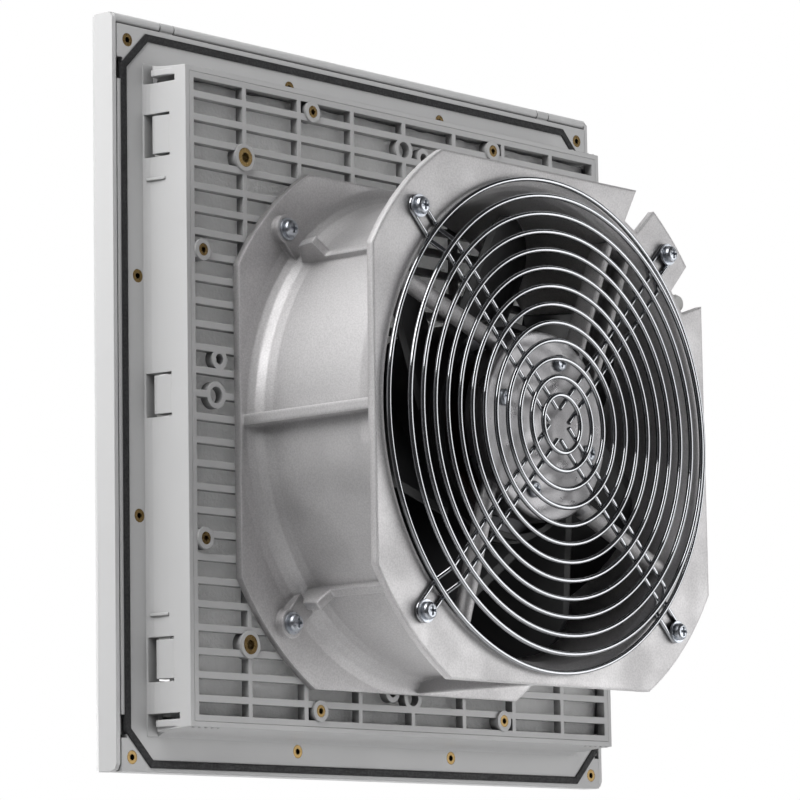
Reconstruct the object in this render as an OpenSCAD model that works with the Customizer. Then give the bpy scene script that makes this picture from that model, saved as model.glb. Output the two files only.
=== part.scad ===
// Cabinet filter fan: a louvred, hinged cover and a filter frame that clip into
// a panel cut-out, with a square axial fan and a wire finger guard behind them.
// Frame: +Z up, the louvres face -Y, the fan stands on +Y. The origin is the
// centre of the panel cut-out on the rear face of the flange, which is y = 0.

/* [Flange and panel] */
// Outer width and height of the cover and the flange
cover_w = 323; // [300:1:360]
// How far the cover's middle stands above the middle of the cut-out
cover_lift = 2.7; // [0:0.1:3]
// Thickness of the flange plate
plate_t = 3; // [2.5:0.1:3.4]
// Play between the flange plate and the cover's side rims
plate_gap = 0.5; // [0.4:0.05:0.8]
// Distance of the corner inserts from the cover's outer edges
corner_inset = 8.7; // [8.5:0.1:10]
// Distance of the edge inserts from the cover's outer edge
edge_inset = 14; // [12.6:0.1:14.4]
// Spacing along one side between its two edge inserts
edge_span = 102.4; // [80:0.2:120]
// Outer radius of a flange insert
insert_r = 2.9; // [2.5:0.1:3.1]
// Thread bore radius of a flange insert
insert_bore = 1.25; // [1.2:0.05:1.7]
// Length of a flange insert
insert_len = 7; // [5:0.5:7.5]
// Distance of the gasket's middle line from the cover's outer edge
gasket_inset = 6.1; // [5.8:0.1:6.4]
// Width of the gasket strip
gasket_w = 3.2; // [2.6:0.1:4]
// Depth of the gasket groove in the flange
groove_d = 1.4; // [1:0.1:1.8]
// How far the loose gasket stands out of its groove
gasket_proud = 0.5; // [0.2:0.1:1]
// Leg of the gasket's chamfer at each corner
gasket_chamfer = 14; // [12:0.5:16]

/* [Spigot] */
// Width of the flange outside the spigot's rear end
flange_border = 20.9; // [20:0.1:23]
// How much wider the spigot is at its foot on the flange, each side
foot_flare = 3.4; // [2.8:0.1:4]
// Wall of the spigot around the filter chamber, at its rear end
spigot_wall = 3.4; // [3.2:0.1:4.4]
// Depth of the spigot behind the flange
spigot_d = 22.5; // [20:0.5:30]
// Thickness of the grille, which lies in a rebate of the spigot
grille_t = 4; // [3:0.5:5]
// Thickness of the filter mat
mat_t = 15; // [10:0.5:15]
// Distance of the outer snap tongues' middles from the chamber's wall
tongue_inset = 25.3; // [24:0.1:30]
// Width of a snap tongue
tongue_w = 16.4; // [12:0.2:18]
// Width of the slot around a snap tongue
tongue_slot = 1.2; // [1:0.1:2]
// How far a snap tongue's catch stands out of the wall
tongue_catch = 2.2; // [1.6:0.1:3]

/* [Rear grille] */
// Spacing of the grille's upright ribs
rib_pitch_x = 34.8; // [30:0.1:40]
// Spacing of the grille's level ribs
rib_pitch_z = 9.9; // [9:0.1:11]
// Height of a level rib's face
rib_w = 3; // [2.4:0.1:4]
// Width of an upright rib
upright_w = 2.4; // [2:0.1:4]
// Distance of the large inserts' middles from the fan's cut corners
large_gap = 10.42; // [9:0.02:12]
// Distance of the small inserts from the chamber's wall
small_inset = 5.7; // [5:0.1:6]
// Place of the small inserts along their side, from its middle
small_near = 61.5; // [58:0.1:66]
// Height of the boss around an insert behind the grille's rear face
boss_h = 1; // [0.5:0.1:2]
// Outer radius of the boss around a small insert
small_boss = 4.7; // [4.2:0.1:5]

/* [Front cover] */
// Depth of the cover ahead of the panel
cover_d = 14; // [13.8:0.1:18]
// Wall thickness of the cover's side rims
cover_wall = 2.2; // [1.8:0.1:2.4]
// Thickness of the cover's front face
cover_face = 3; // [2:0.1:3.5]
// Width of the cover's face around the louvred opening
louvre_border = 29.5; // [27:0.5:40]
// Number of louvre slats
louvre_n = 22; // [16:1:26]
// Distance of the hinge stations from the centre
hinge_x = 128; // [110:1:140]
// Radius of the hinge barrel along the cover's top edge
barrel_r = 2.2; // [2:0.05:2.4]
// Radius of a hinge pin
pin_r = 1; // [0.8:0.05:1.2]
// Play between a hinge pin and the bore in the cover's barrel
pin_play = 0.3; // [0.3:0.05:0.5]
// Distance of the latch windows from the cover's corners
latch_inset = 21.5; // [19.5:0.5:23.5]

/* [Fan housing] */
// Width and height of the square fan flanges
fan_w = 225; // [222:0.5:228]
// Depth of the fan from flange to flange
fan_d = 80; // [76:1:90]
// Gap between the fan's lower edge and the bosses of the lower inserts
fan_low_gap = 4.3; // [3:0.1:8]
// Thickness of a fan flange
fan_flange_t = 3.4; // [3:0.1:4]
// Radius of the arc that cuts the flange corners
fan_corner_r = 131; // [130:0.5:134]
// Radius of the bore that the impeller turns in
fan_bore = 101.5; // [100:0.5:102]
// Wall of the ring between the flanges
ring_wall = 3.5; // [3:0.1:4]
// Place of the fan screws, from the centre, along X and along Z
fan_screw = 85.3; // [84:0.1:87]
// Shank radius of the fan and guard screws
screw_r = 2.5; // [2:0.1:2.6]
// Radius of the round hub plate
hub_r = 41.5; // [38:0.5:42]
// Radius of a round strut
strut_r = 4; // [3.5:0.1:4.6]
// Radius of the circle of the motor screws
motor_screw_at = 30; // [26:0.5:31]

/* [Finger guard] */
// Radius of the guard's wire
wire_r = 1; // [0.8:0.05:1.1]
// Number of wire rings
ring_n = 13; // [9:1:13]
// Radius of the smallest ring
ring_first = 12.6; // [11:0.1:14]
// Radius of the outermost ring
ring_last = 107.4; // [106:0.2:108]
// Half distance between the two wires of one spoke
spoke_half = 4; // [3.8:0.05:4.4]
// How far the spokes rise from the flange to the inner rings
guard_rise = 5; // [4:0.25:7]
// Depth of the weld where a ring crosses a spoke
weld = 0.06; // [0.04:0.01:0.1]

/* [Impeller and motor] */
// Number of impeller blades
blade_n = 7; // [5:1:7]
// Play between the blade tips and the bore
tip_gap = 2; // [1.5:0.1:3]
// Thickness of a sheet steel blade
blade_t = 1.4; // [1:0.1:2]
// Rise of a blade's arc above its chord
blade_camber = 4; // [3:0.5:8]
// Axial length of the blades
blade_len = 38; // [34:1:46]
// Angle of the first blade at rest
blade_start = 17.5; // [0:0.5:51]
// Tangential reach of a blade
blade_reach = 60; // [45:1:66]
// How far a blade's middle is swept from the radius it is parallel to
blade_sweep = 16; // [0:1:18]
// Outer radius of the rotor cup
rotor_r = 48; // [46:0.5:50]
// Radius of the shaft
shaft_r = 4; // [3:0.1:5]
// Play between the shaft and the bearing bores
shaft_play = 0.05; // [0.03:0.01:0.08]
// Play between the rotor's cage ring and the stator
air_gap = 0.6; // [0.4:0.05:0.8]

/* [Hidden] */
$fn = 64;
half = cover_w / 2;
cover_top = half + cover_lift;
cover_low = cover_lift - half;
gasket_mid = half - gasket_inset;
spigot_half = half - flange_border;
louvre_half = half - louvre_border;
latch_z = half - latch_inset;
foot_half = spigot_half + foot_flare;
chamber_half = spigot_half - spigot_wall;
tongue_z = chamber_half - tongue_inset;
small_far = chamber_half - small_inset;
rim_in = half - cover_wall;
plate_x = rim_in - plate_gap;
// The hinge barrel lies above the flange plate's top edge, just ahead of the panel
barrel_y = -0.4 - barrel_r;
barrel_z = cover_top - barrel_r;
plate_top = barrel_z - barrel_r - 0.5;
// Rim of the spigot beside the grille's rebate, and the grille's play in it
lip = 2.2;
grille_play = 0.1;
rear = spigot_d;
grille_y = rear - grille_t;
fan_y0 = rear;
fan_y1 = rear + fan_d;
fan_half = fan_w / 2;
// How far the fan's axis stands below the middle of the grille
fan_drop = small_far - small_boss - fan_half - fan_low_gap;
// Place of the large inserts, from the centre, along X and along Z
large_at = (fan_corner_r + large_gap) / sqrt(2) + fan_drop / 2;
ring_out = fan_bore + ring_wall;
mouth = fan_bore + 6;
pad_h = 3.4;
pad_r = 6.5;
// Distance of the fan screws from the fan's axis
pad_at = fan_screw * sqrt(2);
washer_t = 1;
// Screw heads, washers and nuts follow the shank
head_r = screw_r * 1.52;
head_h = screw_r * 1.2;
washer_r = screw_r * 1.96;
nut_r = screw_r * 1.84;
nut_h = screw_r * 1.6;
spoke_low = fan_y1 + wire_r * 1.03;
spoke_high = spoke_low + guard_rise;
wire_step = 2 * wire_r - weld;
// Radius of a hairpin's bends, and the run over which it rises
bend_r = 3;
// A bent wire is a shade thicker than a straight one
bent_r = wire_r * 1.03;
into_bend = 0.2;
rise_run = 7.2;
ring_pitch = (ring_last - ring_first) / (ring_n - 1);
guard_seat = spoke_low + wire_r * 1.03;
// Rear face of the cover's front, and the rear end and lap of the louvre panel
face_y = -cover_d + cover_face;
panel_y = -plate_t - 2.4;
panel_lap = 3;
hub_y1 = fan_y1 - 1;
hub_disc = 3.5;
hub_skirt = 11;
strut_y = fan_y1 - 9;
motor_y1 = hub_y1 - hub_disc;
flange_disc = 4;
tube_r = 11.5;
bearing_r = 8;
bearing_t = 7;
// The motor's lengths and radii follow the fan's depth and the rotor
rotor_y0 = fan_y0 + fan_d / 8;
rotor_y1 = fan_y1 - fan_d / 4;
core_y0 = rotor_y0 + fan_d / 5;
core_y1 = rotor_y1 - fan_d / 10;
core_r = rotor_r * 0.77;
winding_h = fan_d / 16;
winding_in = rotor_r * 0.375;
winding_out = rotor_r * 0.69;
cup_wall = 2.6;
sleeve_t = 1.4;
tip_r = fan_bore - tip_gap;
blade_mid = (rotor_y0 + rotor_y1) / 2;
edge_at = half - edge_inset;
span_at = edge_span / 2;
corner_at = half - corner_inset;
// Lead bushing: radius, place and angle, and the lug that carries it
post_r = 4.2;
post_at = ring_out + 15.5;
post_a = 147;
lug_r = 4.4;
// Where each strut meets the ring, and where it meets the hub
strut_a = [[33.5, 58], [-60.5, -41.5], [213, 229.5], [124.7, 143.4]];
// Angles of the casting's tall ribs and of its low ribs, which start in a gusset
rib_a = [0, 90, 180, 270];
gusset_a = [43, 137, 223, 317];
// Height of a gusset and of a low rib above the ring, and the gusset's ends
gusset_h = 11;
low_rib_h = 2.6;
gusset_y = [9, 13.3, 21.7, 24];
corners = [[1, 1], [-1, 1], [-1, -1], [1, -1]];
flange_insert_at = concat(
    [for (c = corners) [c[0] * corner_at, c[1] * corner_at]],
    [for (c = corners) [c[0] * edge_at, c[1] * span_at]],
    [for (c = corners) [c[0] * span_at, c[1] * edge_at]]);
small_at = concat(
    [for (c = corners) [c[0] * small_near, c[1] * small_far]],
    [for (c = corners) [c[0] * small_far, c[1] * small_near]]);
large_list = [for (c = corners) [c[0] * large_at, c[1] * large_at]];
fan_list = [for (c = corners) [c[0] * fan_screw, c[1] * fan_screw]];
// Plain ring bosses of the grille: place, outer radius, hole radius
wide_at = chamber_half - 13.8;
twin_at = chamber_half - 15.9;
plain_boss = [
    [0, wide_at, 5.8, 3.6], [-13.5, twin_at, 4.6, 2.3],
    [wide_at, 0, 5.8, 3.6], [twin_at, 15.6, 4.6, 2.3],
    [0, -wide_at, 5.8, 3.6], [13.5, -twin_at, 4.6, 2.3],
    [-wide_at, 0, 5.8, 3.6], [-twin_at, -15.6, 4.6, 2.3]];

// A flat shape drawn in X and Z, made solid from y0 to y1
module slab(y0, y1) {
    translate([0, y1, 0]) rotate([90, 0, 0]) linear_extrude(height = y1 - y0)
        children();
}

// A shape drawn as radius and height, turned around the fan's axis
module spun() {
    rotate([-90, 0, 0]) rotate_extrude() children();
}

// A round rod along Y at one place of the X and Z plane
module rod(at, y0, y1, r) {
    translate([at[0], y0, at[1]]) rotate([-90, 0, 0])
        cylinder(h = y1 - y0, r = r);
}

// A tube along Y
module tube(at, y0, y1, r, bore) {
    difference() {
        rod(at, y0, y1, r);
        rod(at, y0 - 1, y1 + 1, bore);
    }
}

// A box from its low corner to its high corner
module block(lo, hi) {
    translate(lo) cube([hi[0] - lo[0], hi[1] - lo[1], hi[2] - lo[2]]);
}

// Turns the local X axis to an angle in the X and Z plane
module at_angle(a) {
    rotate([0, -a, 0]) children();
}

// Places the fan on the grille
module on_grille() {
    translate([0, 0, -fan_drop]) children();
}

// A shape drawn in Y and Z, made solid along X
module along_x(x0, x1) {
    translate([x0, 0, 0]) rotate([90, 0, 90]) linear_extrude(height = x1 - x0)
        children();
}

// A shape drawn in X and Y, made solid along Z
module along_z(z0, z1) {
    translate([0, 0, z0]) linear_extrude(height = z1 - z0) children();
}

module gasket_outline(off) {
    m = gasket_mid + off;
    c = gasket_mid - gasket_chamfer + off * 0.4142;
    polygon([[m, c], [c, m], [-c, m], [-m, c], [-m, -c], [-c, -m], [c, -m], [m, -c]]);
}

module gasket_strip() {
    difference() {
        gasket_outline(gasket_w / 2);
        gasket_outline(-gasket_w / 2);
    }
}

// The spigot's side in section: a curved foot, then a slight taper
function spigot_side() = [
    [foot_half, -1], [foot_half, 0], [foot_half - 0.9, 1.2], [foot_half - 1.6, 3],
    [foot_half - 2.1, 6], [foot_half - 2.6, 11], [spigot_half, rear]];

module spigot_section() {
    s = spigot_side();
    n = len(s);
    polygon(concat(s, [for (i = [n - 1 : -1 : 0]) [-s[i][0], s[i][1]]]));
}

module spigot_body() {
    intersection() {
        along_z(-half, half) spigot_section();
        rotate([0, 90, 0]) along_z(-half, half) spigot_section();
    }
}

// Window of one snap tongue through a side wall
module tongue_window(z) {
    w = tongue_w / 2 + tongue_slot;
    block([chamber_half - 1, 0.6, z - w], [foot_half + 2, 13.4, z + w]);
}

// One snap tongue: its root is behind, its catch points to the panel
module tongue(z) {
    along_z(z - tongue_w / 2, z + tongue_w / 2) polygon([
        [chamber_half + 0.2, 13.6], [chamber_half + 0.2, 4.8],
        [spigot_half + tongue_catch, 4.8], [spigot_half + tongue_catch, 6.2],
        [spigot_half + 0.4, 13.6]]);
}

// Slit beside each spigot corner and the small spring wing next to it
module corner_slit() {
    block([chamber_half - 1, 2.6, chamber_half - 2.6], [foot_half + 2, 16.4, chamber_half]);
    block([chamber_half + 0.3, 0.3, chamber_half - 2.6], [foot_half + 2, 4.4, foot_half + 2]);
}

// Low ridge on a side wall, next to each outer tongue
module side_ridge() {
    z = tongue_z - tongue_w / 2 - tongue_slot - 9.5;
    along_z(z - 0.6, z + 0.6) polygon([[spigot_half - 1, 1.6], [foot_half - 0.5, 1.6],
        [foot_half - 2, 11], [spigot_half - 1, 11]]);
}

// Row of five small studs near a corner of the spigot's rear rim
module rim_studs() {
    for (i = [0 : 4]) translate([chamber_half + 0.8 - 3.8 * i, rear - 1.3, spigot_half - 0.6])
        cylinder(h = 1.1, r = 0.7);
}

module corner_wing() {
    along_z(chamber_half + 0.3, spigot_half - 0.4) polygon([
        [spigot_half - 1, 16], [spigot_half - 1, 4.4], [spigot_half + 2.4, 4.4],
        [spigot_half + 2.4, 6], [spigot_half + 0.4, 16]]);
}

module base_frame() color([0.78, 0.79, 0.79]) {
    difference() {
        union() {
            difference() {
                union() {
                    block([-plate_x, -plate_t, cover_low], [plate_x, 0, plate_top]);
                    spigot_body();
                }
                block([-chamber_half, -plate_t - 1, -chamber_half],
                    [chamber_half, rear + 1, chamber_half]);
                block([-spigot_half + lip, grille_y, -spigot_half + lip],
                    [spigot_half - lip, rear + 1, spigot_half - lip]);
                for (sx = [0, 1]) mirror([sx, 0, 0]) {
                    for (z = [-tongue_z, 0, tongue_z]) tongue_window(z);
                    for (sz = [0, 1]) mirror([0, 0, sz]) {
                        corner_slit();
                        block([plate_x - 3, -plate_t - 1, latch_z - 4.8],
                            [plate_x + 1, 1, latch_z + 4.8]);
                    }
                }
            }
            for (sx = [0, 1]) mirror([sx, 0, 0]) {
                for (z = [-tongue_z, 0, tongue_z]) tongue(z);
                for (sz = [0, 1]) mirror([0, 0, sz]) {
                    corner_wing();
                    side_ridge();
                    rim_studs();
                }
                // one hinge ear with its web down to the plate
                translate([hinge_x - 4, barrel_y, barrel_z]) rotate([0, 90, 0])
                    cylinder(h = 8, r = barrel_r);
                block([hinge_x - 4, barrel_y - 1.2, plate_top - 1],
                    [hinge_x + 4, barrel_y + 1.2, barrel_z]);
            }
            // bosses of the inserts, clear of the cover's lower wall
            intersection() {
                for (p = flange_insert_at) rod(p, -insert_len - 1, -0.5, insert_r + 1);
                block([-half, -insert_len - 2, cover_low + cover_wall + 0.4], [half, 1, half]);
            }
        }
        slab(-groove_d, 1) gasket_strip();
        for (p = flange_insert_at) rod(p, -insert_len, 1, insert_r);
        for (sx = [0, 1]) mirror([sx, 0, 0])
            translate([hinge_x - 5, barrel_y, barrel_z]) rotate([0, 90, 0])
                cylinder(h = 10, r = pin_r);
    }
}

module rear_grille() color([0.76, 0.77, 0.77]) {
    side = spigot_half - lip - grille_play;
    open = chamber_half - 1.6;
    rows = floor(open / rib_pitch_z);
    cols = floor(open / rib_pitch_x);
    difference() {
        union() {
            slab(grille_y, rear) difference() {
                square(2 * side, center = true);
                square(2 * open, center = true);
            }
            for (i = [-rows : rows])
                block([-open - 0.5, grille_y, i * rib_pitch_z - rib_w / 2],
                    [open + 0.5, rear, i * rib_pitch_z + rib_w / 2]);
            for (i = [-cols : cols])
                block([i * rib_pitch_x - upright_w / 2, grille_y, -open - 0.5],
                    [i * rib_pitch_x + upright_w / 2, rear, open + 0.5]);
            for (p = small_at) rod(p, grille_y, rear + boss_h, small_boss);
            for (p = large_list) rod(p, grille_y, rear + boss_h, 6);
            on_grille() for (p = fan_list) rod(p, grille_y, rear, 6);
            for (p = plain_boss) rod(p, grille_y, rear, p[2]);
        }
        for (p = small_at) rod(p, grille_y - 1, rear + boss_h + 1, 2.7);
        for (p = large_list) rod(p, grille_y - 1, rear + boss_h + 1, 4.2);
        on_grille() for (p = fan_list) rod(p, grille_y - 1, rear + 1, screw_r + 1.4);
        for (p = plain_boss) rod(p, grille_y - 1, rear + 1, p[3]);
    }
}

module gasket() color([0.05, 0.05, 0.05])
    slab(-groove_d, gasket_proud) gasket_strip();

// The mat lies in the chamber, against the grille and on the lower wall
module filter_mat() color([0.93, 0.93, 0.91])
    block([-chamber_half + 0.8, grille_y - mat_t, -chamber_half],
        [chamber_half - 0.8, grille_y, chamber_half - 0.8]);

module flange_inserts() color([0.72, 0.56, 0.26])
    for (p = flange_insert_at) tube(p, -insert_len, 0, insert_r, insert_bore);

module small_inserts() color([0.72, 0.56, 0.26])
    for (p = small_at) tube(p, grille_y, rear + boss_h, 2.7, insert_bore);

module large_inserts() color([0.72, 0.56, 0.26])
    for (p = large_list) tube(p, grille_y, rear + boss_h, 4.2, 2.1);

module fan_inserts() color([0.72, 0.56, 0.26]) on_grille()
    for (p = fan_list) tube(p, grille_y, rear, screw_r + 1.4, screw_r);

// The square flange with its corners cut by one large circle
module fan_outline() {
    intersection() {
        square(fan_w, center = true);
        circle(r = fan_corner_r);
    }
}

// The ring with a flared mouth inside and a fillet outside at each end
module ring_section() {
    y0 = fan_y0;
    y1 = fan_y1;
    b = fan_bore;
    o = ring_out;
    t = fan_flange_t;
    polygon([
        [b + 5, y0], [b + 2.5, y0 + 2.5], [b + 0.9, y0 + 6], [b, y0 + 11],
        [b, y1 - 13], [b + 0.6, y1 - 8.6], [b + 1.8, y1 - 5], [b + 3.6, y1 - 2.2], [mouth, y1],
        [o + 9, y1], [o + 9, y1 - t], [o + 5, y1 - t - 1.2], [o + 2.3, y1 - t - 3.6],
        [o + 0.7, y1 - t - 7.2], [o, y1 - t - 12],
        [o, y0 + t + 12], [o + 0.7, y0 + t + 7.2], [o + 2.3, y0 + t + 3.6],
        [o + 5, y0 + t + 1.2], [o + 9, y0 + t], [o + 9, y0]]);
}

// A low rib along the ring that starts in a gusset beside a screw pad
module low_rib() {
    foot = ring_out - 0.4;
    top = ring_out + gusset_h;
    low = ring_out + low_rib_h;
    along_z(-2, 2) polygon([
        [foot, fan_y0 + gusset_y[0]], [top - 1, fan_y0 + gusset_y[1]], [top, fan_y0 + gusset_y[2]],
        [low, fan_y0 + gusset_y[3]], [low, fan_y1 - fan_flange_t + 0.3],
        [foot, fan_y1 - fan_flange_t + 0.3]]);
}

// The two notches in one corner of the guard side flange
module corner_notches() {
    slab(fan_y1 - fan_flange_t - 9, fan_y1 + 1) translate([-fan_half, fan_half]) {
        polygon([[54.9, -15.1], [44.5, 2.7], [28.5, -3.1], [34.9, -9.1], [46.5, -19.5]]);
        polygon([[22.1, -42.9], [8.5, -28.5], [-5.5, -36.5], [-5.5, -45.9], [0.2, -47.7],
            [14.5, -52.5]]);
    }
}

// A round strut between an angle on the ring and an angle on the hub
module strut(a) {
    p = [(fan_bore + 1.2) * cos(a[0]), (fan_bore + 1.2) * sin(a[0])];
    q = [(hub_r - 2) * cos(a[1]), (hub_r - 2) * sin(a[1])];
    d = q - p;
    translate([p[0], strut_y, p[1]]) at_angle(atan2(d[1], d[0])) rotate([0, 90, 0])
        cylinder(h = norm(d), r = strut_r);
}

// The strut that carries the motor's lead is a channel open to the guard
module lead_channel(a) {
    p = [(fan_bore + 1.2) * cos(a[0]), (fan_bore + 1.2) * sin(a[0])];
    q = [(hub_r - 2) * cos(a[1]), (hub_r - 2) * sin(a[1])];
    d = q - p;
    translate([p[0], strut_y, p[1]]) at_angle(atan2(d[1], d[0])) difference() {
        block([0, -5, -8], [norm(d), 5, 8]);
        block([-1, -2.6, -5.4], [norm(d) + 1, 6, 5.4]);
    }
}

module fan_housing() color([0.80, 0.80, 0.81]) on_grille() {
    t = fan_flange_t;
    difference() {
        union() {
            intersection() {
                union() {
                    spun() ring_section();
                    slab(fan_y0, fan_y0 + t) difference() {
                        fan_outline();
                        circle(r = ring_out + 4);
                    }
                    slab(fan_y1 - t, fan_y1) difference() {
                        fan_outline();
                        circle(r = ring_out + 4);
                    }
                    for (a = rib_a) at_angle(a)
                        block([ring_out - 0.4, fan_y0 + t - 0.3, -2.3],
                            [fan_half - 0.8, fan_y1 - t + 0.3, 2.3]);
                    for (a = gusset_a) at_angle(a) low_rib();
                    // raised pads under the screws of the grille side flange
                    for (c = [45, 135, 225, 315]) at_angle(c) {
                        block([ring_out + 1.6, fan_y0 + 1, 1 - pad_r],
                            [pad_at - screw_r - 0.5, fan_y0 + t + pad_h, pad_r - 1]);
                        rod([pad_at, 0], fan_y0 + 1, fan_y0 + t + pad_h, pad_r);
                    }
                    // lug that holds the lead bushing
                    at_angle(post_a) block([ring_out - 1, fan_y1 - 21, 0.8 - lug_r],
                        [post_at - 1.5, fan_y1 - 13, lug_r - 0.8]);
                    at_angle(post_a) rod([post_at, 0], fan_y1 - 21, fan_y1 - 13, lug_r);
                }
                block([-fan_half, fan_y0, -fan_half], [fan_half, fan_y1, fan_half]);
            }
            for (i = [0, 1, 2]) strut(strut_a[i]);
            lead_channel(strut_a[3]);
            spun() polygon([
                [0, hub_y1], [hub_r - 1, hub_y1], [hub_r, hub_y1 - 1], [hub_r, hub_y1 - hub_skirt],
                [hub_r - 3.4, hub_y1 - hub_skirt], [hub_r - 3.4, motor_y1], [0, motor_y1]]);
        }
        corner_notches();
        rod([0, 0], motor_y1 - 20, motor_y1, hub_r - 3.4);
        for (p = fan_list) rod(p, fan_y0 - 1, fan_y0 + t + pad_h + 1, screw_r);
        for (p = fan_list) rod(p, fan_y1 - t - 1, fan_y1 + 1, screw_r);
        for (i = [0 : 3]) at_angle(19 + 90 * i)
            rod([motor_screw_at, 0], motor_y1 - 1, hub_y1 + 1, 1.8);
    }
}

// A pan head with a cross recess, standing on y
module pan_head(at, y, r, h) {
    difference() {
        translate([at[0], y, at[1]]) rotate([-90, 0, 0]) rotate_extrude()
            polygon([[0, 0], [r, 0], [r, h * 0.45], [r * 0.9, h * 0.75], [r * 0.7, h * 0.92],
                [r * 0.4, h], [0, h]]);
        translate([at[0], y, at[1]]) for (k = [0, 90]) rotate([0, k, 0])
            block([-r * 0.55, h * 0.45, -r * 0.14], [r * 0.55, h + 1, r * 0.14]);
    }
}

module fan_screws() color([0.66, 0.68, 0.70]) on_grille()
    for (p = fan_list) union() {
        rod(p, grille_y, fan_y0 + fan_flange_t + pad_h + washer_t + 0.2, screw_r);
        pan_head(p, fan_y0 + fan_flange_t + pad_h + washer_t, head_r, head_h);
    }

module fan_washers() color([0.70, 0.71, 0.72]) on_grille()
    for (p = fan_list)
        tube(p, fan_y0 + fan_flange_t + pad_h, fan_y0 + fan_flange_t + pad_h + washer_t,
            washer_r, screw_r);

module lead_bushing() color([0.86, 0.86, 0.85]) on_grille()
    at_angle(post_a) translate([post_at, fan_y1 - 13, 0]) rotate([-90, 0, 0])
        rotate_extrude() polygon([[0, 0], [post_r, 0], [post_r, 7.4], [post_r - 0.9, 9], [0, 9]]);

module guard_rings() color([0.75, 0.76, 0.78]) on_grille()
    for (i = [0 : ring_n - 1])
        translate([0, (i == ring_n - 1 ? spoke_low : spoke_high) + wire_step, 0])
            rotate([-90, 0, 0]) rotate_extrude()
                translate([ring_first + i * ring_pitch, 0]) circle(r = wire_r);

// A straight wire between two points of the radial plane, which reaches a little into its bends
module wire(p, q) {
    d = q - p;
    translate([p[0], p[1], 0]) rotate([0, 0, atan2(d[1], d[0])]) rotate([0, 90, 0])
        translate([0, 0, -into_bend]) cylinder(h = norm(d) + 2 * into_bend, r = wire_r);
}

// A bend in the radial plane, from one angle round its centre and over a sweep
module bend(centre, start, sweep) {
    far = 2 * bend_r;
    translate([centre[0], centre[1], 0]) rotate([0, 0, start]) intersection() {
        rotate_extrude() translate([bend_r, 0]) circle(r = bent_r);
        block([-far, 0, -far], [far, far, far]);
        rotate([0, 0, sweep]) block([-far, -far, -far], [far, 0, far]);
    }
}

// One hairpin: a loop around the screw, a rise, two wires to the middle
module spoke() {
    tilt = atan2(guard_rise, rise_run);
    reach = bend_r * tan(tilt / 2);
    low_end = [ring_last - 2.4 + reach, spoke_low];
    high_end = [ring_last - 2.4 - rise_run - reach, spoke_high];
    low_mid = low_end + [0, bend_r];
    high_mid = high_end - [0, bend_r];
    side = bend_r * [sin(tilt), cos(tilt)];
    for (s = [-1, 1]) translate([0, 0, s * spoke_half]) {
        wire(low_end, [pad_at, spoke_low]);
        bend(low_mid, -90 - tilt, tilt);
        wire(low_mid - side, high_mid + side);
        bend(high_mid, 90 - tilt, tilt);
        wire([5.8, spoke_high], high_end);
    }
    translate([pad_at, spoke_low, 0]) rotate([-90, 0, 0]) intersection() {
        rotate_extrude() translate([spoke_half, 0]) circle(r = bent_r);
        block([0, -10, -5], [10, 10, 5]);
    }
}

module guard_spokes() color([0.75, 0.76, 0.78]) on_grille()
    for (c = [45, 135, 225, 315]) at_angle(c) union() spoke();

module guard_screws() color([0.66, 0.68, 0.70]) on_grille()
    for (p = fan_list) union() {
        rod(p, fan_y1 - fan_flange_t - 5.4, guard_seat + washer_t + 0.2, screw_r);
        pan_head(p, guard_seat + washer_t, head_r, head_h);
    }

module guard_washers() color([0.70, 0.71, 0.72]) on_grille()
    for (p = fan_list) tube(p, guard_seat, guard_seat + washer_t, washer_r, screw_r);

module guard_nuts() color([0.66, 0.68, 0.70]) on_grille()
    for (p = fan_list) difference() {
        translate([p[0], fan_y1 - fan_flange_t - nut_h, p[1]]) rotate([-90, 0, 0])
            cylinder(h = nut_h, r = nut_r, $fn = 6);
        rod(p, fan_y1 - fan_flange_t - nut_h - 1, fan_y1 - fan_flange_t + 1, screw_r);
    }

// The carrier is bolted under the hub plate and holds the bearing tube
module motor_flange() color([0.62, 0.63, 0.64]) on_grille()
    difference() {
        union() {
            rod([0, 0], motor_y1 - flange_disc, motor_y1, hub_r - 4);
            rod([0, 0], core_y0 - 6, motor_y1 - flange_disc + 1, tube_r);
        }
        rod([0, 0], core_y0 - 7, motor_y1 - flange_disc, bearing_r);
        for (i = [0 : 3]) at_angle(19 + 90 * i)
            rod([motor_screw_at, 0], motor_y1 - flange_disc - 1, motor_y1 + 1, 1.8);
    }

module motor_screws() color([0.62, 0.64, 0.66]) on_grille()
    for (i = [0 : 3]) at_angle(19 + 90 * i) union() {
        rod([motor_screw_at, 0], motor_y1 - flange_disc, hub_y1 + 0.2, 1.8);
        pan_head([motor_screw_at, 0], hub_y1, 3.7, 2.4);
    }

// Laminated core: a yoke on the bearing tube with eight teeth
module stator_core() color([0.35, 0.36, 0.38]) on_grille()
    slab(core_y0, core_y1) difference() {
        circle(r = core_r);
        circle(r = tube_r);
        for (i = [0 : 7]) rotate(45 * i + 22.5) translate([core_r - 10, 0]) {
            translate([-6, -4.5]) square([12, 9]);
            translate([0, -1.2]) square([14, 2.4]);
        }
    }

module stator_windings() color([0.62, 0.30, 0.13]) on_grille()
    for (y = [core_y0 - winding_h, core_y1]) spun()
        polygon([[winding_in, y], [winding_out, y], [winding_out, y + winding_h],
            [winding_in, y + winding_h]]);

module inner_bearing() color([0.72, 0.73, 0.75]) on_grille()
    tube([0, 0], core_y0 - 4, core_y0 - 4 + bearing_t, bearing_r, shaft_r + shaft_play);

module outer_bearing() color([0.72, 0.73, 0.75]) on_grille()
    tube([0, 0], motor_y1 - 14, motor_y1 - 14 + bearing_t, bearing_r, shaft_r + shaft_play);

module hinge_pins() color([0.68, 0.69, 0.71])
    for (s = [-1, 1]) translate([s * hinge_x - 10, barrel_y, barrel_z]) rotate([0, 90, 0])
        cylinder(h = 20, r = pin_r);

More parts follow.
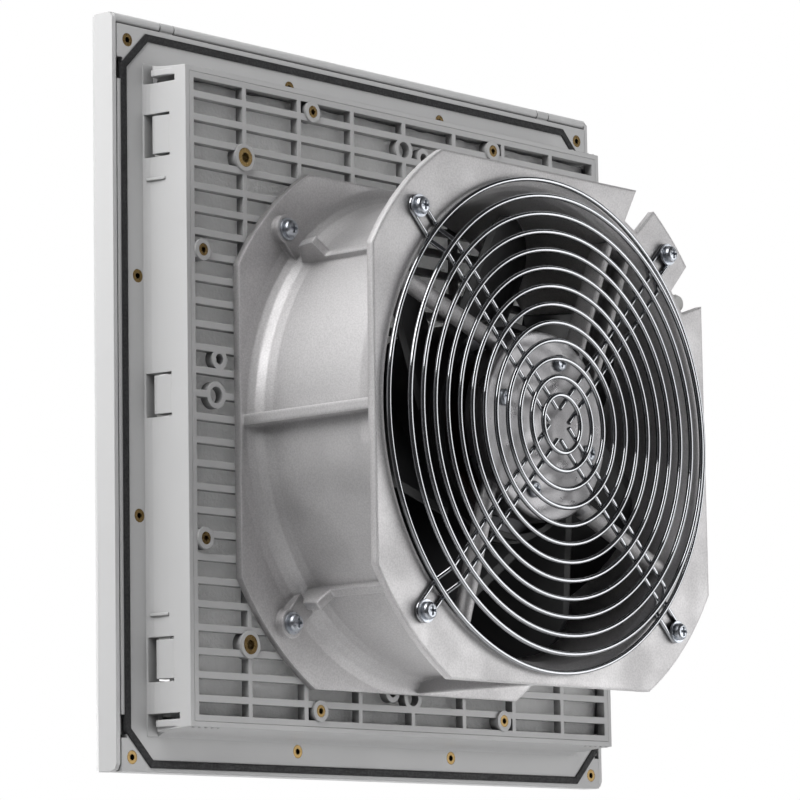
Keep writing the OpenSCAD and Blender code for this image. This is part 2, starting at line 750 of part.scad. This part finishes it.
// One louvre slat in section, sloping down to the front
module slat_section() {
    polygon([[-cover_d + 0.6, -4.6], [-cover_d + 2.6, -4.6],
        [panel_y, 3.4], [panel_y, 5], [panel_y - 1.2, 5]]);
}

// The louvres: slats and two mullions in a rim that lies behind the cover's face
module louvre_panel() color([0.80, 0.81, 0.81]) {
    outer = louvre_half + panel_lap;
    inner = louvre_half - 1;
    slab(face_y, panel_y) difference() {
        square(2 * outer, center = true);
        square(2 * inner, center = true);
    }
    for (i = [0 : louvre_n - 1])
        translate([0, 0, ((i + 0.5) / louvre_n * 2 - 1) * (inner - 0.2)])
            along_x(-louvre_half + 0.4, louvre_half - 0.4) slat_section();
    for (x = [-louvre_half / 3, louvre_half / 3])
        block([x - 1.2, -cover_d + 2.4, -louvre_half + 0.4], [x + 1.2, panel_y, louvre_half - 0.4]);
}

// The cover's outline in plan and in side view, with rounded front edges
module cover_plan() {
    polygon([[-half, 0], [-half, -cover_d + 3], [-half + 0.9, -cover_d + 0.9], [-half + 3, -cover_d],
        [half - 3, -cover_d], [half - 0.9, -cover_d + 0.9], [half, -cover_d + 3], [half, 0]]);
}

module cover_side() {
    polygon([[-0.4, cover_low + 3.4], [-1.4, cover_low + 1], [-3.6, cover_low], [-cover_d + 3, cover_low],
        [-cover_d + 0.9, cover_low + 0.9], [-cover_d, cover_low + 3], [-cover_d, cover_top - 3],
        [-cover_d + 0.9, cover_top - 0.9], [-cover_d + 3, cover_top], [-2.4, cover_top], [-0.4, cover_top - 2.6]]);
}

module front_cover() color([0.80, 0.81, 0.81]) {
    ear_gap = 0.6;
    difference() {
        union() {
            difference() {
                intersection() {
                    along_z(cover_low, cover_top) cover_plan();
                    along_x(-half, half) cover_side();
                }
                // hollow behind the face, open to the flange
                block([-rim_in, face_y, cover_low + cover_wall], [rim_in, 1, cover_top - cover_wall]);
                // room for the flange plate, which reaches the lower edge
                block([-rim_in, -plate_t - plate_gap, cover_low - 1], [rim_in, 1, cover_top + 1]);
                block([-louvre_half, -cover_d - 1, -louvre_half],
                    [louvre_half, 1, louvre_half]);
            }
            translate([-rim_in - 0.5, barrel_y, barrel_z]) rotate([0, 90, 0])
                cylinder(h = 2 * rim_in + 1, r = barrel_r);
            for (s = [0, 1]) mirror([s, 0, 0]) {
                // catch that snaps into the lower latch window
                block([rim_in - 1.6, -plate_t + 0.3, -latch_z - 3.4],
                    [rim_in + 0.5, -1.4, -latch_z + 3.4]);
                // finger ridges near the lower front edge
                for (i = [0 : 9])
                    translate([half - 16, -cover_d + 0.9, cover_low + 26 + 4.4 * i]) rotate([0, 90, 0])
                        cylinder(h = 13.5, r = 1.5);
            }
        }
        for (s = [-1, 1]) {
            translate([s * hinge_x - 4 - ear_gap, barrel_y, barrel_z]) rotate([0, 90, 0])
                cylinder(h = 8 + 2 * ear_gap, r = barrel_r + 0.4);
            translate([s * hinge_x - 10.6, barrel_y, barrel_z]) rotate([0, 90, 0])
                cylinder(h = 21.2, r = pin_r + pin_play);
        }
    }
}

module shaft() color([0.70, 0.71, 0.73]) on_grille()
    rod([0, 0], rotor_y0, motor_y1 - 5.4, shaft_r);

module shaft_clip() color([0.30, 0.31, 0.33]) on_grille()
    tube([0, 0], motor_y1 - 6.6, motor_y1 - 5.8, shaft_r + 2.4, shaft_r);

module rotor_cup() color([0.10, 0.10, 0.11]) on_grille()
    difference() {
        rod([0, 0], rotor_y0, rotor_y1, rotor_r);
        rod([0, 0], rotor_y0 + 3, rotor_y1 + 1, rotor_r - cup_wall);
        rod([0, 0], rotor_y0 - 1, rotor_y0 + 4, shaft_r);
    }

module rotor_cage() color([0.45, 0.46, 0.48]) on_grille()
    tube([0, 0], core_y0, core_y1, rotor_r - cup_wall, core_r + air_gap);

// One cambered sheet blade, bent about a line along the local X axis
module blade() {
    a = blade_len / 2;
    b = blade_reach / 2;
    chord = 2 * norm([a, b]);
    big = chord * chord / 8 / blade_camber + blade_camber / 2;
    n = [b, a] / norm([a, b]);
    c = n * (blade_camber - big);
    foot = rotor_r / 2;
    intersection() {
        translate([foot, blade_mid + c[0], c[1] - blade_sweep]) rotate([0, 90, 0]) difference() {
            cylinder(h = tip_r, r = big);
            translate([0, 0, -1]) cylinder(h = tip_r + 2, r = big - blade_t);
        }
        spun() polygon([[rotor_r + 0.2, blade_mid - a], [tip_r - 9, blade_mid - a],
            [tip_r - 2.6, blade_mid - a + 1.6], [tip_r, blade_mid - a + 5],
            [tip_r, blade_mid + a - 5], [tip_r - 2.6, blade_mid + a - 1.6],
            [tip_r - 9, blade_mid + a], [rotor_r + 0.2, blade_mid + a]]);
        block([foot, blade_mid - a - 1, -b - blade_sweep - 5], [tip_r + 5, blade_mid + a + 1, b + 5]);
    }
}

module impeller() color([0.06, 0.06, 0.07]) on_grille()
    union() {
        tube([0, 0], blade_mid - blade_len / 2 - 1, blade_mid + blade_len / 2 + 1,
            rotor_r + sleeve_t, rotor_r);
        for (i = [0 : blade_n - 1]) at_angle(i * 360 / blade_n + blade_start) blade();
    }

base_frame();
rear_grille();
gasket();
filter_mat();
flange_inserts();
small_inserts();
large_inserts();
fan_inserts();
fan_housing();
fan_screws();
fan_washers();
lead_bushing();
guard_rings();
guard_spokes();
guard_screws();
guard_washers();
guard_nuts();
motor_flange();
motor_screws();
stator_core();
stator_windings();
inner_bearing();
outer_bearing();
hinge_pins();
front_cover();
louvre_panel();
shaft();
shaft_clip();
rotor_cup();
rotor_cage();
impeller();
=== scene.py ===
# %% [markdown]
# # Dressing a cabinet filter fan
# The imported model brings every solid of the fan in its real place, in metres:
# a louvred cover and a filter frame that sit in a cabinet wall, and a square
# axial fan with a wire guard behind them. This lesson sets up the picture, gives
# each piece the finish of the real one and makes two pieces anew: the rings of
# the guard and the soft filter mat.
# We read the box of a solid from its points, to size the pieces that are made anew.

import math

import bmesh
import bpy
from mathutils import Matrix, Vector, noise


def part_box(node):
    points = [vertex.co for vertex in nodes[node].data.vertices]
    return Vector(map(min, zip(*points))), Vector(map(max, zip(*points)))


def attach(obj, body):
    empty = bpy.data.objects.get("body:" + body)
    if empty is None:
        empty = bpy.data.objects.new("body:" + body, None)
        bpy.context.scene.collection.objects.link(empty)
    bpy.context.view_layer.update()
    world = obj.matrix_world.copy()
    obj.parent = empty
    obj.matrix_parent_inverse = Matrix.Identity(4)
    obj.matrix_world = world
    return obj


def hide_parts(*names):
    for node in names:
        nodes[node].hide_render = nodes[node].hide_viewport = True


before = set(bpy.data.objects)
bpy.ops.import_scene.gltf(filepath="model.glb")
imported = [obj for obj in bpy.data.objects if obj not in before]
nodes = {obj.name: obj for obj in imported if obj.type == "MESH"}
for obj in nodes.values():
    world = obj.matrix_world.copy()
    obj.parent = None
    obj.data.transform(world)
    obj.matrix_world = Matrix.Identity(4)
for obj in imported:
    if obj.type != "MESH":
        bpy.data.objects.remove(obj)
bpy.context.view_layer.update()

# %% [markdown]
# The picture is taken from inside the cabinet, from the left and a little from
# below, with a long lens. A long lens keeps the cover's edges nearly parallel.
# The camera is turned by its own three axes, because it also rolls by one
# degree, which a plain look-at would leave out.

# %% Camera
CAMERA_AT = Vector((1.3470, 1.1971, -0.2419))
AZIMUTH = math.radians(41.206)
ELEVATION = math.radians(-8.012)
ROLL = math.radians(0.933)
FOCAL_PIXELS = 4041.4
PICTURE_PIXELS = 800
SENSOR_MM = 36

outward = Vector((math.cos(AZIMUTH), math.sin(AZIMUTH), 0)) * math.cos(ELEVATION)
outward.z = math.sin(ELEVATION)
level_right = (-outward).cross(Vector((0, 0, 1))).normalized()
level_up = outward.cross(level_right)
camera_x = math.cos(ROLL) * level_right - math.sin(ROLL) * level_up
camera_y = math.sin(ROLL) * level_right + math.cos(ROLL) * level_up

camera = bpy.data.objects.new("camera", bpy.data.cameras.new("camera"))
camera.data.sensor_width = SENSOR_MM
camera.data.lens = FOCAL_PIXELS / PICTURE_PIXELS * SENSOR_MM
turn = Matrix((camera_x, camera_y, outward)).transposed()
camera.matrix_world = Matrix.Translation(CAMERA_AT) @ turn.to_4x4()
bpy.context.scene.collection.objects.link(camera)
bpy.context.scene.camera = camera
print("lens in mm", round(camera.data.lens, 1))

# %% [markdown]
# A shader is a small graph. These helpers keep the graphs short: one adds a node
# and sets its inputs, one links two sockets, and one starts a finish from the
# numbers that are the same all over the piece. Patterns read Object coordinates,
# which are metres in the part's frame, so a scale of 1000 is a grain of about
# one millimetre. A Mix node keeps sockets for every kind of value, so the colour
# sockets are picked by number.

# %% Helpers for finishes
COLOUR_A = 6
COLOUR_B = 7
COLOUR_OUT = 2
FLOAT_A = 2
FLOAT_B = 3
FLOAT_OUT = 0


def add(material, kind, **settings):
    node = material.node_tree.nodes.new("ShaderNode" + kind)
    for name, value in settings.items():
        socket = node.inputs.get(name.replace("_", " "))
        if socket is None:
            setattr(node, name, value)
        else:
            socket.default_value = value
    return node


def join(material, source, target):
    material.node_tree.links.new(source, target)


def new_finish(name, colour, roughness, metallic=0.0):
    material = bpy.data.materials.new(name)
    material.use_nodes = True
    shader = material.node_tree.nodes["Principled BSDF"]
    shader.inputs["Base Color"].default_value = (*colour, 1)
    shader.inputs["Roughness"].default_value = roughness
    shader.inputs["Metallic"].default_value = metallic
    return material, shader


def object_point(material, stretch=(1, 1, 1)):
    place = add(material, "TexCoord")
    mapping = add(material, "Mapping", Scale=stretch)
    join(material, place.outputs["Object"], mapping.inputs["Vector"])
    return mapping.outputs["Vector"]


def grain(material, scale, detail):
    speckle = add(material, "TexNoise", Scale=scale, Detail=detail)
    join(material, object_point(material), speckle.inputs["Vector"])
    return speckle.outputs["Fac"]


def spread(material, source, low, high, start=0.35, stop=0.65):
    reach = add(material, "MapRange", From_Min=start, From_Max=stop, To_Min=low, To_Max=high)
    join(material, source, reach.inputs["Value"])
    return reach.outputs["Result"]


def scaled(colour, factor):
    return [min(1, factor * part) for part in colour]


def fill(material, source, target):
    if isinstance(source, bpy.types.NodeSocket):
        join(material, source, target)
    else:
        target.default_value = (*source, 1)


def mottle(material, factor, dark, light, blend="MIX"):
    mix = add(material, "Mix", data_type="RGBA", blend_type=blend)
    fill(material, dark, mix.inputs[COLOUR_A])
    fill(material, light, mix.inputs[COLOUR_B])
    join(material, factor, mix.inputs["Factor"])
    return mix.outputs[COLOUR_OUT]


def soft_edges(material, radius):
    rounding = add(material, "Bevel", Radius=radius, samples=4)
    return rounding.outputs["Normal"]


# Where the bevelled normal turns away from the true one: the mask for a painted highlight along the edges.
def edge_mask(material, radius, strength):
    surface = add(material, "NewGeometry")
    compare = add(material, "VectorMath", operation="DOT_PRODUCT")
    join(material, soft_edges(material, radius), compare.inputs[0])
    join(material, surface.outputs["Normal"], compare.inputs[1])
    return spread(material, compare.outputs["Value"], strength, 0, 0.75, 0.99)


# Painted shade: an Ambient Occlusion node darkens the colour in gaps and corners.
def painted_crevice_shade(material, shade, reach, dark):
    hollow = add(material, "AmbientOcclusion", Distance=reach, samples=6)
    open_air = spread(material, hollow.outputs["AO"], 0, 1, 0.1, 0.7)
    return mottle(material, open_air, dark, shade)


def rough_skin(material, shader, source, depth, strength, under=None):
    skin = add(material, "Bump", Distance=depth, Strength=strength)
    join(material, source, skin.inputs["Height"])
    if under is not None:
        join(material, under, skin.inputs["Normal"])
    join(material, skin.outputs["Normal"], shader.inputs["Normal"])


def wear(finish, *names):
    for name in names:
        for place in nodes[name].material_slots:
            place.material = finish
    print(finish.name, "on", ", ".join(names))


# %% [markdown]
# The frame, the grille and the cover are moulded in light grey plastic with a
# fine matte skin. A mould leaves no sharp edge, so a Bevel node rounds the edges
# in the shading by about half a millimetre. It works on any mesh, while a Bevel
# modifier would need the loose triangles of a node to be merged. Slots and gaps
# get painted shade: an Ambient Occlusion node finds them and darkens the colour
# there. The edges get a painted highlight, a lighter colour along them. The three
# mouldings come from different tools, so each gets its own shade of grey.

# %% Moulded plastic
# How far the painted shade in slots and gaps reaches.
SLOT_SHADE_REACH = 0.010


def moulded_plastic(name, grey, tint=(0.0, 0.0, 0.0)):
    colour = [grey + shift for shift in tint]
    material, shader = new_finish(name, colour, 0.5)
    cloudy = grain(material, 45, 3)
    shade = mottle(material, cloudy, scaled(colour, 0.965), scaled(colour, 1.02))
    # Painted shade darkens the slots and gaps, and a painted highlight lightens the edges.
    shaded = painted_crevice_shade(material, shade, SLOT_SHADE_REACH, scaled(colour, 0.2))
    painted_edge_highlight = mottle(material, edge_mask(material, 0.0005, 0.5), shaded, scaled(colour, 1.12))
    join(material, painted_edge_highlight, shader.inputs["Base Color"])
    join(material, spread(material, cloudy, 0.42, 0.56), shader.inputs["Roughness"])
    rough_skin(material, shader, grain(material, 2400, 2), 0.00004, 0.35, soft_edges(material, 0.0006))
    return material


frame_plastic = moulded_plastic("frame_plastic", 0.60)
grille_plastic = moulded_plastic("grille_plastic", 0.56)
cover_plastic = moulded_plastic("cover_plastic", 0.66)
wear(frame_plastic, "base_frame")
wear(grille_plastic, "rear_grille")
wear(cover_plastic, "front_cover", "louvre_panel")

# %% [markdown]
# The gasket is a strip of closed-cell foam. Its skin shows the cells as small
# pits, and a Voronoi texture gives just that: the distance to the nearest cell
# centre is a field of little bowls. A wide Bevel radius makes the strip look
# rounded.

# %% Foam gasket
gasket_foam, shader = new_finish("gasket_foam", (0.03, 0.03, 0.032), 0.8)
cells = add(gasket_foam, "TexVoronoi", Scale=900)
join(gasket_foam, object_point(gasket_foam), cells.inputs["Vector"])
pits = cells.outputs["Distance"]
dusty = mottle(gasket_foam, grain(gasket_foam, 120, 4), (0.014, 0.014, 0.015), (0.044, 0.044, 0.046))
join(gasket_foam, dusty, shader.inputs["Base Color"])
join(gasket_foam, spread(gasket_foam, pits, 0.6, 0.85), shader.inputs["Roughness"])
rough_skin(gasket_foam, shader, pits, 0.0003, 0.4, soft_edges(gasket_foam, 0.0016))
wear(gasket_foam, "gasket")

# %% [markdown]
# The housing of the fan is a die casting in aluminium, blasted with fine grit.
# Blasting leaves thousands of tiny dents, so the metal glitters softly and never
# mirrors. Edges and corners get a painted highlight, a lighter colour along them,
# and deep corners get painted shade from an Ambient Occlusion node. The plate
# over the hub is smoother than the rest, and its colour is darkened by painted
# shade. A mask from the distance to the fan's axis picks it out.

# %% Cast aluminium
FAN_AXIS_Z = -0.010
HUB_FACE_R = 0.047
# Painted shade: the grey that darkens the hub plate, and how far the shade in deep corners reaches.
HUB_PAINTED_SHADE = (0.47, 0.47, 0.48)
CORNER_SHADE_REACH = 0.035


def hub_face(material):
    flat = add(material, "VectorMath", operation="DISTANCE")
    join(material, object_point(material, (1, 0, 1)), flat.inputs[0])
    flat.inputs[1].default_value = (0, 0, FAN_AXIS_Z)
    return spread(material, flat.outputs["Value"], 1, 0, HUB_FACE_R, 1.03 * HUB_FACE_R)


def cast_metal(name, grey, rough_low, rough_high):
    colour = (grey, 0.985 * grey, 0.99 * grey)
    material, shader = new_finish(name, colour, rough_high, 1.0)
    dents = grain(material, 1300, 3)
    shade = mottle(material, spread(material, dents, 0, 1), scaled(colour, 0.92), scaled(colour, 1.06))
    # A painted highlight lightens the edges; painted shade darkens the hub plate and the deep corners.
    painted_edge_highlight = mottle(material, edge_mask(material, 0.0007, 0.8), shade, scaled(colour, 1.35))
    hub = hub_face(material)
    hub_shaded = mottle(material, hub, painted_edge_highlight, HUB_PAINTED_SHADE, "MULTIPLY")
    shaded = painted_crevice_shade(material, hub_shaded, CORNER_SHADE_REACH, scaled(colour, 0.3))
    join(material, shaded, shader.inputs["Base Color"])
    turned = add(material, "Mix", data_type="FLOAT")
    join(material, hub, turned.inputs["Factor"])
    join(material, spread(material, grain(material, 38, 4), rough_low, rough_high), turned.inputs[FLOAT_A])
    join(material, spread(material, grain(material, 90, 4), 0.26, 0.42), turned.inputs[FLOAT_B])
    join(material, turned.outputs[FLOAT_OUT], shader.inputs["Roughness"])
    rough_skin(material, shader, dents, 0.0002, 0.35, soft_edges(material, 0.002))
    return material


cast_aluminium = cast_metal("cast_aluminium", 0.72, 0.54, 0.68)
wear(cast_aluminium, "fan_housing", "motor_flange")

# %% [markdown]
# Screws, washers and nuts are zinc plated: bright and a little blue, with a fine
# unevenness from the tumbling drum. The guard's wire is chromed, so its roughness
# is low and its skin almost even. The brass inserts are turned and have dulled
# in the air.

# %% Plated and turned metal
def bright_metal(name, colour, rough_low, rough_high, scale, dent, edge=None):
    material, shader = new_finish(name, colour, rough_low, 1.0)
    dull = grain(material, scale, 4)
    shade = mottle(material, grain(material, 0.2 * scale, 3), scaled(colour, 0.86), colour)
    join(material, shade, shader.inputs["Base Color"])
    join(material, spread(material, dull, rough_low, rough_high), shader.inputs["Roughness"])
    under = soft_edges(material, edge) if edge else None
    rough_skin(material, shader, grain(material, 2 * scale, 3), 0.00004, dent, under)
    return material


zinc_steel = bright_metal("zinc_steel", (0.62, 0.65, 0.70), 0.26, 0.42, 700, 0.25, 0.0003)
chrome_wire = bright_metal("chrome_wire", (0.50, 0.51, 0.53), 0.07, 0.13, 300, 0.02)
brass_insert = bright_metal("brass_insert", (0.25, 0.17, 0.07), 0.22, 0.36, 800, 0.3, 0.0004)
wear(zinc_steel, "fan_screws", "fan_washers", "guard_screws", "guard_washers", "guard_nuts", "motor_screws")
wear(zinc_steel, "inner_bearing", "outer_bearing", "hinge_pins", "shaft")
wear(chrome_wire, "guard_spokes")
wear(brass_insert, "flange_inserts", "small_inserts", "large_inserts", "fan_inserts")

# %% [markdown]
# The rings of the guard catch the eye, though each is only about two millimetres
# thick. The mesh of the solids has eight sides round the wire, which shows as a
# twist in the reflections. So the rings are made anew: a circle of sixteen points
# is spun round the fan's axis, and a full turn with use_merge closes each ring.
# The outer ring lies one wire lower, on the foot of the spokes. Each ring is
# built alone and then added to the rest, because merging takes longer the more
# points there are.

# %% Guard rings
RING_COUNT = 13
RING_STEPS = 144
FIRST_RING = 0.0126
SOLID_WIRE = 0.001
WIRE = 0.00108
WIRE_SIDES = 16
SAME_POINT = 0.000001

low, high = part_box("guard_rings")
last_ring = (high.x - low.x) / 2 - SOLID_WIRE
ring_mesh = bpy.data.meshes.new("wire_rings")
mesh = bmesh.new()
for count in range(RING_COUNT):
    radius = FIRST_RING + count / (RING_COUNT - 1) * (last_ring - FIRST_RING)
    level = low.y + WIRE if count == RING_COUNT - 1 else high.y - WIRE
    ring = bmesh.new()
    section = bmesh.ops.create_circle(ring, segments=WIRE_SIDES, radius=WIRE)["verts"]
    bmesh.ops.translate(ring, vec=(radius, level, FAN_AXIS_Z), verts=section)
    bmesh.ops.spin(ring, geom=ring.verts[:] + ring.edges[:], cent=(0, level, FAN_AXIS_Z), axis=(0, 1, 0),
                   angle=2 * math.pi, steps=RING_STEPS, use_merge=True)
    bmesh.ops.remove_doubles(ring, verts=ring.verts, dist=SAME_POINT)
    bmesh.ops.recalc_face_normals(ring, faces=ring.faces)
    ring.to_mesh(ring_mesh)
    ring.free()
    mesh.from_mesh(ring_mesh)
mesh.to_mesh(ring_mesh)
mesh.free()
ring_mesh.shade_smooth()
ring_mesh.materials.append(chrome_wire)
wire_rings = bpy.data.objects.new("wire_rings", ring_mesh)
bpy.context.scene.collection.objects.link(wire_rings)
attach(wire_rings, "frame")
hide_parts("guard_rings")
print("ring faces", len(ring_mesh.polygons))

# %% [markdown]
# Inside the motor the core and the cage are stacks of thin sheets. A Wave
# texture along the shaft draws the sheet edges. The windings are copper wire
# under dark lacquer, and the waves there stand for the turns.

# %% Motor steel and copper
def stacked_metal(name, colour, roughness, pitch):
    material, shader = new_finish(name, colour, roughness, 1.0)
    sheets = add(material, "TexWave", bands_direction="Y", Scale=1 / pitch, Distortion=0.6, Detail=1.0)
    join(material, object_point(material), sheets.inputs["Vector"])
    shade = mottle(material, sheets.outputs["Fac"], scaled(colour, 0.55), colour)
    join(material, shade, shader.inputs["Base Color"])
    dull = spread(material, grain(material, 400, 3), 0.8 * roughness, roughness)
    join(material, dull, shader.inputs["Roughness"])
    rough_skin(material, shader, sheets.outputs["Fac"], 0.0002, 0.5)
    return material


motor_steel = stacked_metal("motor_steel", (0.34, 0.34, 0.36), 0.5, 0.003)
copper_wire = stacked_metal("copper_wire", (0.17, 0.08, 0.05), 0.35, 0.004)
wear(motor_steel, "stator_core", "rotor_cage", "shaft_clip")
wear(copper_wire, "stator_windings")

# %% [markdown]
# The blades and the rotor cup are steel sheet under black paint. Sprayed paint
# has an orange-peel skin: shallow waves a few millimetres long, which break up
# the reflections. The bushing is a satin moulding in off-white.

# %% Black paint and the bushing
black_paint, shader = new_finish("black_paint", (0.014, 0.014, 0.015), 0.4)
shader.inputs["Specular IOR Level"].default_value = 0.35
flow = grain(black_paint, 60, 3)
shade = mottle(black_paint, flow, (0.010, 0.010, 0.011), (0.020, 0.020, 0.021))
join(black_paint, shade, shader.inputs["Base Color"])
join(black_paint, spread(black_paint, flow, 0.3, 0.48), shader.inputs["Roughness"])
rough_skin(black_paint, shader, grain(black_paint, 420, 2), 0.0001, 0.3, soft_edges(black_paint, 0.0004))
wear(black_paint, "rotor_cup", "impeller")

bushing_plastic = moulded_plastic("bushing_plastic", 0.7, (0.0, 0.0, -0.02))
wear(bushing_plastic, "lead_bushing")

# %% [markdown]
# The filter mat is a thick fleece of loose fibres that lies between the grille
# and the louvres. The solid that stands for it is a plain block, so the mat is
# made anew: a slab with soft corners, cut fine enough to carry slow lumps, which
# are moved along the normals by a noise field that gives the same result on
# every run. Light passes through loose fibres, so the finish is all subsurface
# scattering, with a little sheen.

# %% Filter mat
MAT_SOFT = 0.002
MAT_LUMP = 0.0009
MAT_CUTS = 70
LUMP_SCALE = 70
LONG_EDGE = 0.1
LIGHT_REACH = 0.05

low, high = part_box("filter_mat")
size = high - low
mesh = bmesh.new()
bmesh.ops.create_cube(mesh, size=1)
bmesh.ops.scale(mesh, vec=size - Vector((MAT_LUMP,) * 3) * 2, verts=mesh.verts)
bmesh.ops.translate(mesh, vec=(low + high) / 2, verts=mesh.verts)
bmesh.ops.bevel(mesh, geom=mesh.edges[:], offset=MAT_SOFT, affect="EDGES", segments=3, profile=0.5,
                material=-1)
long_edges = [edge for edge in mesh.edges if edge.calc_length() > LONG_EDGE]
bmesh.ops.subdivide_edges(mesh, edges=long_edges, cuts=MAT_CUTS, use_grid_fill=True)
mesh.normal_update()
for point in mesh.verts:
    lump = noise.fractal(point.co * LUMP_SCALE, 1.0, 2.0, 3)
    point.co += point.normal * max(-1, min(1, lump)) * MAT_LUMP
filter_mesh = bpy.data.meshes.new("filter_fleece")
mesh.to_mesh(filter_mesh)
mesh.free()
filter_mesh.shade_smooth()
filter_fleece = bpy.data.objects.new("filter_fleece", filter_mesh)
bpy.context.scene.collection.objects.link(filter_fleece)

filter_fibre, shader = new_finish("filter_fibre", (0.86, 0.86, 0.85), 0.95)
strands = grain(filter_fibre, 700, 6)
tufts = grain(filter_fibre, 160, 4)
shade = mottle(filter_fibre, tufts, (0.80, 0.80, 0.79), (0.92, 0.92, 0.91))
join(filter_fibre, shade, shader.inputs["Base Color"])
join(filter_fibre, spread(filter_fibre, strands, 0.85, 1.0), shader.inputs["Roughness"])
shader.inputs["Sheen Weight"].default_value = 0.25
shader.inputs["Subsurface Weight"].default_value = 1.0
shader.inputs["Subsurface Radius"].default_value = (1, 1, 1)
shader.inputs["Subsurface Scale"].default_value = LIGHT_REACH
rough_skin(filter_fibre, shader, strands, 0.0006, 0.7)
filter_mesh.materials.append(filter_fibre)
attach(filter_fleece, "frame")
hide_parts("filter_mat")
print("mat faces", len(filter_mesh.polygons))

# %% [markdown]
# The studio is plain. A pale floor lies well below the fan, which hangs in its
# wall, and fades out before its edge could show. Two lamps stand high on the
# left, one beside the fan and one on the side of the louvres. Each of them is
# doubled by a lamp at the same place that gives either matt light or reflections
# alone. So plastic and metal can each be set to the right brightness. A low
# panel on the right of the fan lights its face, and a lamp in front of the
# louvres sends light through the mat.

# %% Studio
FLOOR_AT = -0.60
FLOOR_HALF = 4
FADE_START = 0.4
FADE_STOP = 1.2
BESIDE_FAN = (0.9, 0.12, 0.92)
LOUVRE_SIDE = (1.0, -1.1, 0.85)
FAN_AIM = (0.05, 0.03, 0)
COVER_AIM = (0, 0.03, 0)

floor_mesh = bpy.data.meshes.new("floor")
mesh = bmesh.new()
bmesh.ops.create_grid(mesh, x_segments=4, y_segments=4, size=FLOOR_HALF)
bmesh.ops.translate(mesh, vec=(0, 0, FLOOR_AT), verts=mesh.verts)
mesh.to_mesh(floor_mesh)
mesh.free()
floor = bpy.data.objects.new("floor", floor_mesh)
bpy.context.scene.collection.objects.link(floor)
floor_paint, shader = new_finish("floor_paint", (0.82, 0.82, 0.82), 0.7)
shade = mottle(floor_paint, grain(floor_paint, 9, 3), (0.80, 0.80, 0.80), (0.84, 0.84, 0.84))
join(floor_paint, shade, shader.inputs["Base Color"])
reach = add(floor_paint, "VectorMath", operation="LENGTH")
join(floor_paint, object_point(floor_paint, (1, 1, 0)), reach.inputs[0])
fade = spread(floor_paint, reach.outputs["Value"], 1, 0, FADE_START, FADE_STOP)
join(floor_paint, fade, shader.inputs["Alpha"])
floor_mesh.materials.append(floor_paint)


def soft_lamp(name, place, aim, size, power, matt=True, shine=True):
    lamp = bpy.data.lights.new(name, "AREA")
    lamp.shape = "SQUARE"
    lamp.size = size
    lamp.energy = power
    holder = bpy.data.objects.new(name, lamp)
    holder.location = place
    holder.visible_diffuse = matt
    holder.visible_glossy = shine
    holder.rotation_euler = (Vector(aim) - Vector(place)).to_track_quat("-Z", "Y").to_euler()
    bpy.context.scene.collection.objects.link(holder)
    print(name, "lamp", power, "W")


soft_lamp("top", BESIDE_FAN, FAN_AIM, 1.0, 13)
soft_lamp("top_matt", BESIDE_FAN, FAN_AIM, 1.0, 10, shine=False)
soft_lamp("left", LOUVRE_SIDE, COVER_AIM, 1.8, 8)
soft_lamp("left_shine", LOUVRE_SIDE, COVER_AIM, 1.5, 36, matt=False)
soft_lamp("panel", (-0.95, 1.1, -0.2), (0, 0.05, 0), 1.2, 9.5)
soft_lamp("front", (-0.1, -1.3, -0.4), (0, -0.03, 0), 0.8, 14)

# %% [markdown]
# The world is white where the camera looks straight at it. What metal mirrors is
# white behind the fan and dark round the camera, as in a dark room with one
# white wall. A dot product with the camera's direction tells the two apart.
# Matt surfaces get a low grey from all sides.

# %% World
MATT_ROOM = (0.12, 0.12, 0.124)
MIRRORED_ROOM = (0.04, 0.04, 0.042)

world = bpy.data.worlds.new("studio")
bpy.context.scene.world = world
world.use_nodes = True
backdrop = world.node_tree.nodes["Background"]
backdrop.inputs["Color"].default_value = (1, 1, 1, 1)
room = add(world, "Background")
heading = add(world, "TexCoord")
behind = add(world, "VectorMath", operation="DOT_PRODUCT")
join(world, heading.outputs["Generated"], behind.inputs[0])
behind.inputs[1].default_value = -outward
wall = spread(world, behind.outputs["Value"], 0, 1, 0.45, 0.85)
rays = add(world, "LightPath")
mirrored = add(world, "Math", operation="MAXIMUM")
join(world, rays.outputs["Is Glossy Ray"], mirrored.inputs[0])
join(world, rays.outputs["Is Transmission Ray"], mirrored.inputs[1])
on_wall = add(world, "Math", operation="MULTIPLY")
join(world, mirrored.outputs["Value"], on_wall.inputs[0])
join(world, wall, on_wall.inputs[1])
white = add(world, "Math", operation="MAXIMUM")
join(world, rays.outputs["Is Camera Ray"], white.inputs[0])
join(world, on_wall.outputs["Value"], white.inputs[1])
dim = mottle(world, mirrored.outputs["Value"], MATT_ROOM, MIRRORED_ROOM)
join(world, dim, room.inputs["Color"])
choice = add(world, "MixShader")
join(world, white.outputs["Value"], choice.inputs["Fac"])
join(world, room.outputs["Background"], choice.inputs[1])
join(world, backdrop.outputs["Background"], choice.inputs[2])
join(world, choice.outputs["Shader"], world.node_tree.nodes["World Output"].inputs["Surface"])
bpy.context.scene.view_settings.view_transform = "Standard"
